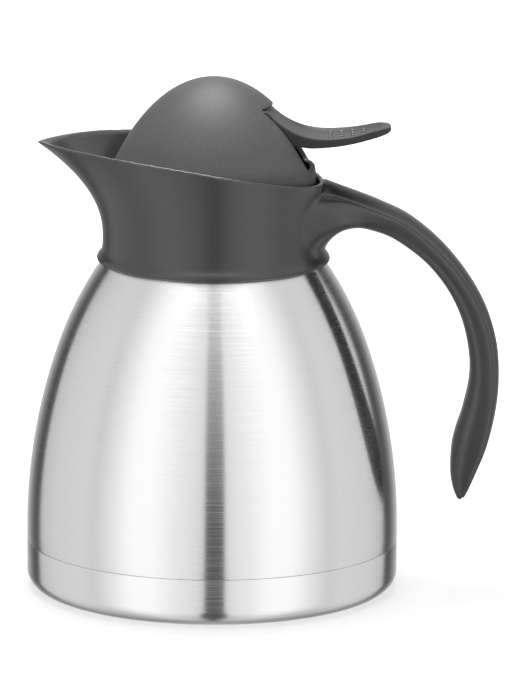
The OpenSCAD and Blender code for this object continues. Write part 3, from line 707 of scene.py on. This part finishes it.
def make_lever():
    """Thumb lever with a dished pad inside a raised border, and the barrel on its pivot."""
    places = [-28.2, -26.5, -22, -12, -2, 4, 8, 12, 15, 17.2, 18.4, 19.6, ARM_END]
    places += [ARM_END + 1.6 * i for i in range(1, 23)]
    places += [58, 60, 62, 64, 65.6, 67, 68.2, 69.2, 70, 70.6, 71.0]
    # the lever's darker tone is painted shade
    lever = skin_over("thumb_lever_moulding", [lever_ring(x) for x in places], lever_charcoal_painted_shade)
    finish_with(lever, "SUBSURF", levels=2, render_levels=2)
    bpy.ops.object.shade_smooth()

    bpy.ops.object.select_all(action="DESELECT")
    bpy.ops.mesh.primitive_cylinder_add(
        vertices=48, radius=3.2 * MM, depth=16 * MM,
        location=(PIVOT_X * MM, 0, PIVOT_Z * MM), rotation=(math.radians(90), 0, 0))
    barrel = named("lever_barrel", lever_charcoal_painted_shade)
    finish_with(barrel, "BEVEL", width=0.3 * MM, segments=2, limit_method="ANGLE")
    bpy.ops.object.shade_smooth_by_angle(angle=math.radians(40))
    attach(lever, "lever")
    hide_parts("thumb_lever")
    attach(barrel, "lever")


DOT_R, DOT_GAP = 0.75, 5.0
DOT_ROWS = ((46.7, 4), (51.2, 4), (55.6, 4), (60.0, 3))       # x of a row, dots in it


def make_grip_dots():
    """Four rows of low dots across the pad, so that the thumb doesn't slip."""
    places = [(x, DOT_GAP * (number - (count - 1) / 2), lever_top(x) - 1.1)
              for x, count in DOT_ROWS for number in range(count)]
    first = Vector(places[0]) * MM
    bpy.ops.object.select_all(action="DESELECT")
    bpy.ops.mesh.primitive_uv_sphere_add(
        segments=14, ring_count=8, radius=DOT_R * MM, location=first, scale=(1, 1, 0.75))
    # the dots' pale colour is a painted highlight
    dots = named("lever_grip_dots", dots_charcoal_painted_highlight)
    join([dots] + [copied(dots, Matrix.Translation(Vector(place) * MM - first))
                   for place in places[1:]])
    bpy.ops.object.shade_smooth()
    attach(dots, "lever")


SPRING_WIRE, SPRING_R, SPRING_TURNS, SPRING_FOOT, SPRING_RISE = 0.45, 6.35, 5, 167.5, 6.95


def make_spring():
    """Compression spring between the dome's floor and the push cap."""
    rings = []
    steps, sides = 32, 8                        # rings in a turn, points in a ring
    for k in range(SPRING_TURNS * steps + 1):
        turn = math.tau * k / steps
        z = SPRING_FOOT + SPRING_RISE * k / (SPRING_TURNS * steps)
        ring = []
        for side in range(sides):
            around = math.tau * side / sides
            r = SPRING_R + SPRING_WIRE * math.cos(around)
            ring.append((r * math.cos(turn), r * math.sin(turn),
                         z + SPRING_WIRE * math.sin(around)))
        rings.append(ring)
    spring = skin_over("valve_spring_coil", rings, steel_plain)
    bpy.ops.object.shade_smooth_by_angle(angle=math.radians(60))
    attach(spring, "lid")
    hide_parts("valve_spring")
    # the cap comes down 3.1 of the spring's 7.9 mm
    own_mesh(spring)


# ---------------------------------------------------------------- quick thread
THREAD_STARTS, THREAD_LEAD, THREAD_SWEEP, THREAD_FOOT = 3, 24, 68, 148.9


def make_thread(name, body, finish, root, crest, phase):
    """Short, steep ridges from a root radius to a crest radius. They fade out at both ends."""
    into_wall = root + (0.3 if crest < root else -0.3)
    rings = []
    count = 24
    for k in range(count + 1):
        share = k / count
        turn = math.radians(phase + THREAD_SWEEP * share)
        middle = THREAD_FOOT + THREAD_LEAD * THREAD_SWEEP * share / 360
        fade = min(1.0, 6 * share, 6 * (1 - share))
        tip = root + (crest - root) * (0.15 + 0.85 * fade)
        section = [(root, middle - 1.1), (tip, middle - 0.45), (tip, middle + 0.45),
                   (root, middle + 1.1), (into_wall, middle + 1.1), (into_wall, middle - 1.1)]
        rings.append([(r * math.cos(turn), r * math.sin(turn), z) for r, z in section])
    thread = skin_over(name, rings, finish)
    turns = [math.tau * start / THREAD_STARTS for start in range(1, THREAD_STARTS)]
    join([thread] + [copied(thread, Matrix.Rotation(turn, 4, "Z")) for turn in turns])
    bpy.ops.object.shade_smooth_by_angle(angle=math.radians(35))
    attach(thread, body)


make_body()
make_base()
make_collar_and_grip()
make_back_strip()
make_dome()
make_lever()
make_grip_dots()
make_spring()
make_thread("stopper_thread", "lid", inner_plastic, 31.3, 32.7, 0)
make_thread("collar_thread", "jug", charcoal, 33.3, 31.9, 60)


# ---------------------------------------------------------------- studio
# What the steel mirrors on either side: angle from the camera in degrees, and how light it is
PANELS = [
    (0, 0.64), (24, 0.84), (38, 1.0), (52, 1.0), (66, 0.78), (78, 0.60), (88, 0.66), (114, 0.62),
    (124, 0.57), (132.5, 0.54), (136, 0.10), (143, 0.06), (151, 0.16), (161, 0.36), (180, 0.62),
]
GLOSS_LEVEL, ROOM_LEVEL = 1.35, 0.2
# The dark camera stand in the middle: where it is, half its width above and at the table
STAND_ANGLE, STAND_HALF, STAND_FOOT_HALF = math.radians(2), math.radians(6), math.radians(11)


def studio_world():
    """White backdrop and a dim room. Glossy rays see soft light panels and, in the middle,
    the dark camera stand."""
    world = bpy.data.worlds.new("studio")
    bpy.context.scene.world = world
    world.use_nodes = True
    world.cycles.sampling_method = "NONE"       # each kind of ray sees only its own background
    tree = world.node_tree
    tree.nodes.clear()
    place = add_node(tree, "TexCoord")
    split = add_node(tree, "SeparateXYZ", {"Vector": place.outputs["Generated"]})
    height = split.outputs["Z"]
    # the angle from the camera's side, which is -Y, as a share of half a turn
    front = add_node(tree, "Math", {0: split.outputs["Y"]}, operation="MULTIPLY", i1=-1.0)
    turn = add_node(tree, "Math", {0: split.outputs["X"], 1: front.outputs[0]},
                    operation="ARCTAN2")
    either_side = add_node(tree, "Math", {0: turn.outputs[0]}, operation="ABSOLUTE")
    share = add_node(tree, "MapRange", {"Value": either_side.outputs[0]}, From_Max=math.pi)
    ramp = add_node(tree, "ValToRGB", {"Fac": share.outputs["Result"]})
    while len(ramp.color_ramp.elements) < len(PANELS):
        ramp.color_ramp.elements.new(0.5)
    for element, (angle, level) in zip(ramp.color_ramp.elements, PANELS):
        element.position = angle / 180
        element.color = (level, level, level, 1)

    # the stand: wider towards the table, paler towards the ceiling
    off = add_node(tree, "Math", {0: turn.outputs[0]}, operation="SUBTRACT", i1=STAND_ANGLE)
    off_side = add_node(tree, "Math", {0: off.outputs[0]}, operation="ABSOLUTE")
    half = add_node(tree, "MapRange", {"Value": height}, From_Min=-0.75, From_Max=-0.35,
                    To_Min=STAND_FOOT_HALF, To_Max=STAND_HALF)
    ratio = add_node(tree, "Math", {0: off_side.outputs[0], 1: half.outputs["Result"]},
                     operation="DIVIDE")
    clear = add_node(tree, "MapRange", {"Value": ratio.outputs[0]},
                     interpolation_type="SMOOTHSTEP", From_Min=0.85, From_Max=1.15)
    depth = add_node(tree, "MapRange", {"Value": height}, From_Min=0.05, From_Max=0.85,
                     To_Min=0.12, To_Max=0.95)
    stand = add_node(tree, "MapRange",
                     {"Value": clear.outputs["Result"], "To Min": depth.outputs["Result"]})
    # the table: darker the more steeply a reflection looks down
    table = add_node(tree, "MapRange", {"Value": height}, interpolation_type="SMOOTHSTEP",
                     From_Min=-0.95, From_Max=-0.5, To_Min=0.62, To_Max=1.0)
    both = add_node(tree, "Math", {0: stand.outputs["Result"], 1: table.outputs["Result"]},
                    operation="MULTIPLY")
    level = add_node(tree, "Math", {0: both.outputs[0]}, operation="MULTIPLY", i1=GLOSS_LEVEL)

    path = add_node(tree, "LightPath")
    room = add_node(tree, "Background", Color=(1, 1, 1, 1), Strength=ROOM_LEVEL)
    seen = add_node(tree, "Background", Color=(1, 1, 1, 1), Strength=1.0)
    shiny = add_node(tree, "Background",
                     {"Color": ramp.outputs["Color"], "Strength": level.outputs[0]})
    glossy = add_node(tree, "MixShader", {"Fac": path.outputs["Is Glossy Ray"],
                                          1: room.outputs[0], 2: shiny.outputs[0]})
    direct = add_node(tree, "Math", {0: path.outputs["Is Camera Ray"],
                                     1: path.outputs["Is Transmission Ray"]},
                      operation="MAXIMUM")
    final = add_node(tree, "MixShader", {"Fac": direct.outputs[0],
                                         1: glossy.outputs[0], 2: seen.outputs[0]})
    add_node(tree, "OutputWorld", {"Surface": final.outputs[0]})


def studio_floor():
    """Pale floor that keeps the jug's shadow and runs out to white. Glossy rays pass through it
    to the studio's panels."""
    bpy.ops.object.select_all(action="DESELECT")
    bpy.ops.mesh.primitive_plane_add(size=12, location=(0, 0, 0))       # 12 metres across
    floor = bpy.context.object
    floor.name = "studio_floor"
    made, tree, paper = new_material(
        "studio_floor_paper", Roughness=0.9, Base_Color=colour("#a8a8a8"))
    path = add_node(tree, "LightPath")
    place = add_node(tree, "TexCoord")
    away = add_node(tree, "VectorMath", {0: place.outputs["Object"]}, operation="LENGTH")
    fade = add_node(tree, "MapRange", {"Value": away.outputs["Value"]},
                    interpolation_type="SMOOTHSTEP",
                    From_Min=0.08, From_Max=0.35, To_Min=0.62, To_Max=1.0)
    white = add_node(tree, "Math", {0: fade.outputs["Result"],
                                    1: path.outputs["Is Camera Ray"]}, operation="MULTIPLY")
    glow = add_node(tree, "Emission", {"Strength": white.outputs[0]})
    sweep = add_node(tree, "AddShader", {0: paper.outputs[0], 1: glow.outputs[0]})
    through = add_node(tree, "BsdfTransparent")
    final = add_node(tree, "MixShader", {"Fac": path.outputs["Is Glossy Ray"],
                                         1: sweep.outputs[0], 2: through.outputs[0]})
    tree.links.new(final.outputs[0], tree.nodes["Material Output"].inputs["Surface"])
    floor.data.materials.append(made)


def soft_lamp(name, place, size, power, mirrored):
    """A softbox, in metres and watts, that points at the jug. The steel shows its picture only
    where mirrored is set."""
    lamp = bpy.data.lights.new(name, "AREA")
    lamp.shape = "RECTANGLE"
    lamp.size, lamp.size_y = size
    lamp.energy = power
    holder = bpy.data.objects.new(name, lamp)
    bpy.context.scene.collection.objects.link(holder)
    holder.location = place
    towards_jug = Vector((0, 0, 0.15)) - Vector(place)
    holder.rotation_euler = towards_jug.to_track_quat("-Z", "Y").to_euler()
    holder.visible_glossy = mirrored


studio_world()
studio_floor()
soft_lamp("overhead_softbox", (-0.05, 0.35, 2.0), (1.2, 1.3), 38, mirrored=True)
soft_lamp("front_fill", (-0.5, -1.3, 1.9), (1.0, 1.0), 5, mirrored=False)
